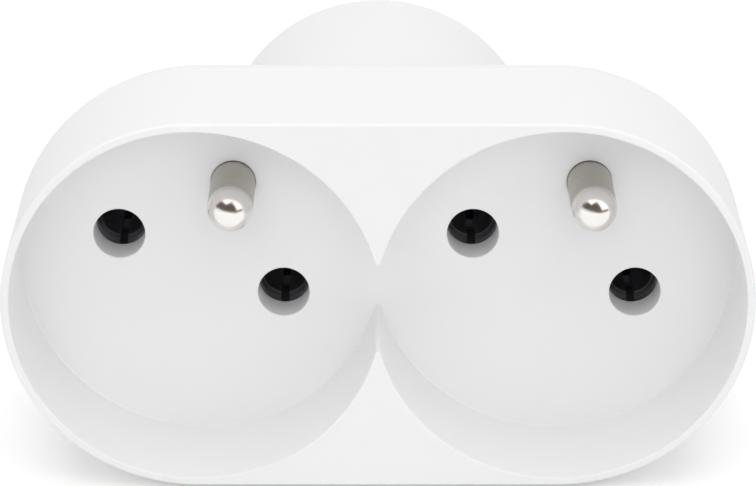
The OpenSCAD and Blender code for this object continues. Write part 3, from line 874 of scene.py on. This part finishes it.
def new_coat(name):
    """An empty material with its shader, and the two helpers of its tree."""
    coat = bpy.data.materials.new(name)
    coat.use_nodes = True
    coat.node_tree.nodes.clear()
    add, feed = node_maker(coat.node_tree)
    shader = add("ShaderNodeBsdfPrincipled")
    out = add("ShaderNodeOutputMaterial")
    feed(out, "Surface", shader.outputs[0])
    return coat, shader, add, feed


def grain(add, feed, scale, finer=EVEN):
    """A noise on the piece's own coordinates, finer along some axes where the marks have a direction."""
    mapping = add("ShaderNodeMapping")
    feed(mapping, "Vector", add("ShaderNodeTexCoord").outputs["Object"])
    feed(mapping, "Scale", finer)
    noise = add("ShaderNodeTexNoise")
    feed(noise, "Vector", mapping.outputs[0])
    feed(noise, "Scale", scale)
    feed(noise, "Detail", NOISE_DETAIL)
    return noise.outputs["Fac"]


def mixed(add, feed, share, first, second, kind="RGBA"):
    """Two colours or two values mixed by a share."""
    mix = add("ShaderNodeMix", data_type=kind)
    first_socket, second_socket, result = MIX_SOCKETS[kind]
    feed(mix, 0, share)
    feed(mix, first_socket, first)
    feed(mix, second_socket, second)
    return mix.outputs[result]


def blend_colours(add, feed, share, first, second):
    """A mix of two plain colours by a share."""
    return mixed(add, feed, share, (*first, 1), (*second, 1))


def spread(add, feed, noise, low, high):
    """Spreads the middle of a noise between two values."""
    rate = add("ShaderNodeMapRange")
    feed(rate, "Value", noise)
    feed(rate, "From Min", NOISE_LOW)
    feed(rate, "From Max", NOISE_HIGH)
    feed(rate, "To Min", low)
    feed(rate, "To Max", high)
    return rate.outputs[0]


def relief(add, feed, shader, height, strength, depth):
    """Fine relief on a surface."""
    bump = add("ShaderNodeBump")
    feed(bump, "Height", height)
    feed(bump, "Strength", strength)
    feed(bump, "Distance", depth)
    feed(shader, "Normal", bump.outputs[0])


def moulded_plastic(name, light, dark, rough):
    """Moulded plastic: a faint cloud in its colour, and the mould's fine texture."""
    coat, shader, add, feed = new_coat(name)
    cloud = grain(add, feed, PLASTIC_CLOUD)
    fine = grain(add, feed, MOULD_TEXTURE)
    feed(shader, "Base Color", blend_colours(add, feed, cloud, light, dark))
    feed(shader, "Roughness", spread(add, feed, fine, *rough))
    feed(shader, "Specular IOR Level", PLASTIC_SPECULAR)
    relief(add, feed, shader, fine, *PLASTIC_RELIEF)
    return coat


def worked_metal(name, light, dark, rough, finer=EVEN):
    """Metal with the faint marks that rolling or plating leaves."""
    coat, shader, add, feed = new_coat(name)
    feed(shader, "Metallic", 1.0)
    cloud = grain(add, feed, METAL_CLOUD)
    marks = grain(add, feed, METAL_MARKS, finer)
    feed(shader, "Base Color", blend_colours(add, feed, cloud, light, dark))
    feed(shader, "Roughness", spread(add, feed, marks, *rough))
    relief(add, feed, shader, marks, *METAL_RELIEF)
    return coat


def along_depth(add, feed, start, end):
    """A share that runs from 0 to 1 between two depths, given as the piece's own Y in millimetres."""
    split = add("ShaderNodeSeparateXYZ")
    feed(split, 0, add("ShaderNodeTexCoord").outputs["Object"])
    rate = add("ShaderNodeMapRange")
    feed(rate, "Value", split.outputs["Y"])
    feed(rate, "From Min", start * MM)
    feed(rate, "From Max", end * MM)
    return rate.outputs[0]


def pin_nickel(name, dome_y, way, shaft_colours, tip_colours):
    """Nickel plate on a pin: a shaft with turning marks, and a polished tip from its dome on. The shaft's
    darker colour is partly its duller plating and partly painted shade.

    The dome starts at dome_y, and the tip points along Y one way or the other, 1 or -1.
    """
    coat, shader, add, feed = new_coat(name)
    feed(shader, "Metallic", 1.0)
    cloud = grain(add, feed, PIN_CLOUD)
    marks = grain(add, feed, PIN_MARKS, TURNED_MARKS)
    polish_and_shade = along_depth(add, feed, dome_y - way * POLISH_FADE, dome_y + way * POLISH_FADE)
    shaft = blend_colours(add, feed, cloud, *shaft_colours)
    tip = blend_colours(add, feed, cloud, *tip_colours)
    # The shaft's darker colour is partly painted shade for the dark surroundings it reflects
    feed(shader, "Base Color", mixed(add, feed, polish_and_shade, shaft, tip))
    dull = spread(add, feed, marks, *SHAFT_ROUGH)
    bright = spread(add, feed, marks, *TIP_ROUGH)
    feed(shader, "Roughness", mixed(add, feed, polish_and_shade, dull, bright, "FLOAT"))
    relief(add, feed, shader, marks, *METAL_RELIEF)
    return coat


def clip_bronze():
    """Dull tinned bronze, with a painted highlight: a bright ring at the foot of each clip's flare, where
    light would catch its edge.
    """
    coat, shader, add, feed = new_coat("tinned_bronze")
    feed(shader, "Metallic", 1.0)
    calc = math_maker(add, feed)
    # A clip ends one flare behind its collar, and its flare is twice as long as it is wide
    # The bright ring here is a painted highlight, standing in for light caught on the clip's edge
    highlight_y = 3 * CLIP_FLARE - COLLAR_Z
    before = along_depth(add, feed, highlight_y - HIGHLIGHT_RING, highlight_y)
    after = along_depth(add, feed, highlight_y + HIGHLIGHT_RING, highlight_y)
    painted_highlight = calc("MULTIPLY", before, after)
    cloud = grain(add, feed, METAL_CLOUD)
    marks = grain(add, feed, METAL_MARKS)
    dull = blend_colours(add, feed, cloud, *DULL_BRONZE)
    feed(shader, "Base Color", mixed(add, feed, painted_highlight, dull, PAINTED_HIGHLIGHT))
    feed(shader, "Roughness", spread(add, feed, marks, *BRONZE_ROUGH))
    relief(add, feed, shader, marks, *METAL_RELIEF)
    return coat


def cad_coats(white, black, nickel):
    """The finish of every node, by its material slot in the record."""
    return {
        "white_plastic": white,
        "black_plastic": black,
        "nickel_pin": nickel,
        "contact_bronze": clip_bronze(),
        "brass_strip": worked_metal("rolled_brass", *BRASS, ROLLED),
        "spring_steel": worked_metal("spring_steel", *SPRING_STEEL),
        "screw_steel": worked_metal("zinc_plated_steel", *ZINC),
    }


def coat_nodes(coats):
    """Gives every carried-over node the finish of its slot."""
    for part in frame["record"]["subparts"]:
        node = frame["nodes"][part["node"]]
        coat = coats[part["material_slot"]]
        if not node.material_slots:
            node.data.materials.append(coat)
        for held in node.material_slots:
            held.material = coat


def dress():
    """Makes the visible pieces and their finishes."""
    white = moulded_plastic("white_plastic", *WHITE_PLASTIC)
    black = moulded_plastic("black_plastic", *BLACK_PLASTIC)
    earth_dome_y = EARTH_PIN_R - FLOOR_Z - EARTH_PIN_REACH
    earth_nickel = pin_nickel("earth_pin_nickel", earth_dome_y, -1, EARTH_SHAFT, EARTH_TIP)
    plug_dome_y = PLUG_PIN_LENGTH - PLUG_PIN_R
    plug_nickel = pin_nickel("plug_pin_nickel", plug_dome_y, 1, PLUG_SHAFT, PLUG_TIP)
    coat_nodes(cad_coats(white, black, plug_nickel))
    finish(front_housing(), "front_shell", white, "white_plastic", "front_housing")
    finish(rear_housing(), "rear_shell", white, "white_plastic", "rear_housing")
    for side, place in zip(("left", "right"), earth_places()):
        node = side + "_earth_pin"
        finish(earth_pin(node + "_turned", place), node + "_turned", earth_nickel, "nickel_pin", node)
    for wire, place in zip(("neutral", "live"), plug_pin_places()):
        node = wire + "_plug_pin"
        finish(plug_pin(node + "_turned", place), node + "_turned", plug_nickel, "nickel_pin", node)


# Studio: the floor under the part, soft lamps, and the camera in front and above, in metres
FLOOR_HALF = 2.0
FLOOR_PAPER = ((0.93, 0.93, 0.93), (0.92, 0.92, 0.92))
FLOOR_CLOUD = 3.0
FLOOR_ROUGH = 0.9
FLOOR_SPECULAR = 0.1
# What the camera, gloss and glass see added to the floor: its strength near the part and far from it
NEAR_GLOW, FAR_GLOW = 0.23, 0.62
# Between these distances from the part, one strength turns into the other
NEAR_FLOOR, FAR_FLOOR = 0.12, 0.85
SKY_LEVEL = 0.43
LAMP_TARGET = (0.0, -0.04, 0.0)
# Name, place, width, height and power of each lamp, and whether gloss shows it
LAMPS = (
    ("top_light", (0.0, -0.05, 0.9), 0.9, 0.9, 3.75, True),
    ("front_light", (0.0, -1.0, 0.385), 0.7, 0.35, 1.65, False),
    ("high_light", (0.0, -0.6, 0.75), 0.8, 0.4, 1.15, False),
    ("left_light", (-0.85, -0.45, 0.35), 0.5, 0.5, 0.35, False),
    ("right_light", (0.85, -0.45, 0.35), 0.5, 0.5, 0.6, False),
)
# Name, direction, distance, width, height, roll in degrees and colour of each card that only gloss shows
CARDS = (
    ("dim_card", (0.0, -0.25, 0.97), 0.8, 3.0, 1.8, 0, (0.42, 0.38, 0.33)),
    ("dark_card", (0.0, -0.9, 0.438), 0.5, 3.0, 0.4, -14, (0.12, 0.09, 0.075)),
    ("left_card", (-0.256, -0.121, 0.962), 0.4, 0.54, 0.36, 0, (1.5, 1.46, 1.4)),
    ("right_card", (0.712, -0.404, 0.576), 0.4, 0.36, 0.36, 0, (1.5, 1.46, 1.4)),
)
CAMERA_PLACE = (0.0, -0.34395, 0.11953)
CAMERA_DIP = math.radians(21.04)
LENS_MM = 143.4
SENSOR_MM = 36.0
NEAREST_SEEN = 0.01


def shown_by_light_path(add, calc):
    """1 for what the camera, gloss and glass see, and 0 for what lights the part."""
    path = add("ShaderNodeLightPath").outputs
    seen = calc("MAXIMUM", path["Is Camera Ray"], path["Is Glossy Ray"])
    return calc("MAXIMUM", seen, path["Is Transmission Ray"])


def studio_floor():
    """A plain pale floor just under the part."""
    low = CAD_BOX[0][2]
    corners = [(x * FLOOR_HALF, y * FLOOR_HALF, low) for x, y in ((-1, -1), (1, -1), (1, 1), (-1, 1))]
    ground = piece("studio_floor", corners, [(0, 1, 2, 3)])
    coat, shader, add, feed = new_coat("floor_paper")
    feed(shader, "Roughness", FLOOR_ROUGH)
    feed(shader, "Specular IOR Level", FLOOR_SPECULAR)
    cloud = grain(add, feed, FLOOR_CLOUD)
    feed(shader, "Base Color", blend_colours(add, feed, cloud, *FLOOR_PAPER))
    calc = math_maker(add, feed)
    away = add("ShaderNodeVectorMath", operation="LENGTH")
    feed(away, 0, add("ShaderNodeTexCoord").outputs["Object"])
    rise = add("ShaderNodeMapRange", interpolation_type="SMOOTHSTEP")
    feed(rise, "Value", away.outputs["Value"])
    feed(rise, "From Min", NEAR_FLOOR)
    feed(rise, "From Max", FAR_FLOOR)
    feed(rise, "To Min", NEAR_GLOW)
    feed(rise, "To Max", FAR_GLOW)
    glow = calc("MULTIPLY", shown_by_light_path(add, calc), rise.outputs[0])
    feed(shader, "Emission Color", WHITE)
    feed(shader, "Emission Strength", glow)
    ground.data.materials.append(coat)


def studio_sky():
    """Even light from all round, which the camera, gloss and glass see as white."""
    world = bpy.data.worlds.new("studio_sky")
    bpy.context.scene.world = world
    world.use_nodes = True
    world.node_tree.nodes.clear()
    add, feed = node_maker(world.node_tree)
    calc = math_maker(add, feed)
    extra = calc("MULTIPLY", shown_by_light_path(add, calc), 1.0 - SKY_LEVEL)
    sky = add("ShaderNodeBackground")
    feed(sky, "Color", WHITE)
    feed(sky, "Strength", calc("ADD", extra, SKY_LEVEL))
    out = add("ShaderNodeOutputWorld")
    feed(out, "Surface", sky.outputs[0])


def aimed(place):
    """The turn of a lamp or card at a place that faces the part."""
    return (Vector(LAMP_TARGET) - Vector(place)).to_track_quat("-Z", "Y")


def lamp(name, place, width, height, power, in_gloss):
    """A soft rectangular lamp that looks at the part."""
    light = bpy.data.lights.new(name, "AREA")
    light.shape = "RECTANGLE"
    light.size = width
    light.size_y = height
    light.energy = power
    made = bpy.data.objects.new(name, light)
    made.location = place
    made.rotation_euler = aimed(place).to_euler()
    made.visible_glossy = in_gloss
    bpy.context.scene.collection.objects.link(made)


def card(name, direction, distance, width, height, roll, colour):
    """A card of one colour that only gloss shows, facing the part."""
    place = Vector(LAMP_TARGET) + Vector(direction).normalized() * distance
    facing = aimed(place).to_matrix().to_4x4() @ Matrix.Rotation(math.radians(roll), 4, "Z")
    half_w, half_h = width / 2, height / 2
    corners = [(-half_w, -half_h, 0), (half_w, -half_h, 0), (half_w, half_h, 0), (-half_w, half_h, 0)]
    made = piece(name, corners, [(0, 1, 2, 3)])
    made.data.transform(Matrix.Translation(place) @ facing)
    coat = bpy.data.materials.new(name)
    coat.use_nodes = True
    coat.node_tree.nodes.clear()
    add, feed = node_maker(coat.node_tree)
    glow = add("ShaderNodeEmission")
    feed(glow, "Color", (*colour, 1.0))
    feed(add("ShaderNodeOutputMaterial"), "Surface", glow.outputs[0])
    made.data.materials.append(coat)
    made.visible_camera = False
    made.visible_diffuse = False
    made.visible_transmission = False
    made.visible_shadow = False


def studio_camera():
    """The camera at the photograph's angle."""
    data = bpy.data.cameras.new("camera")
    data.sensor_width = SENSOR_MM
    data.lens = LENS_MM
    data.clip_start = NEAREST_SEEN
    made = bpy.data.objects.new("camera", data)
    made.location = CAMERA_PLACE
    made.rotation_euler = (math.radians(90) - CAMERA_DIP, 0, 0)
    bpy.context.scene.collection.objects.link(made)
    bpy.context.scene.camera = made


bpy.context.scene.view_settings.view_transform = "Standard"
studio_camera()
studio_sky()
studio_floor()
for given in LAMPS:
    lamp(*given)
for given in CARDS:
    card(*given)
dress()
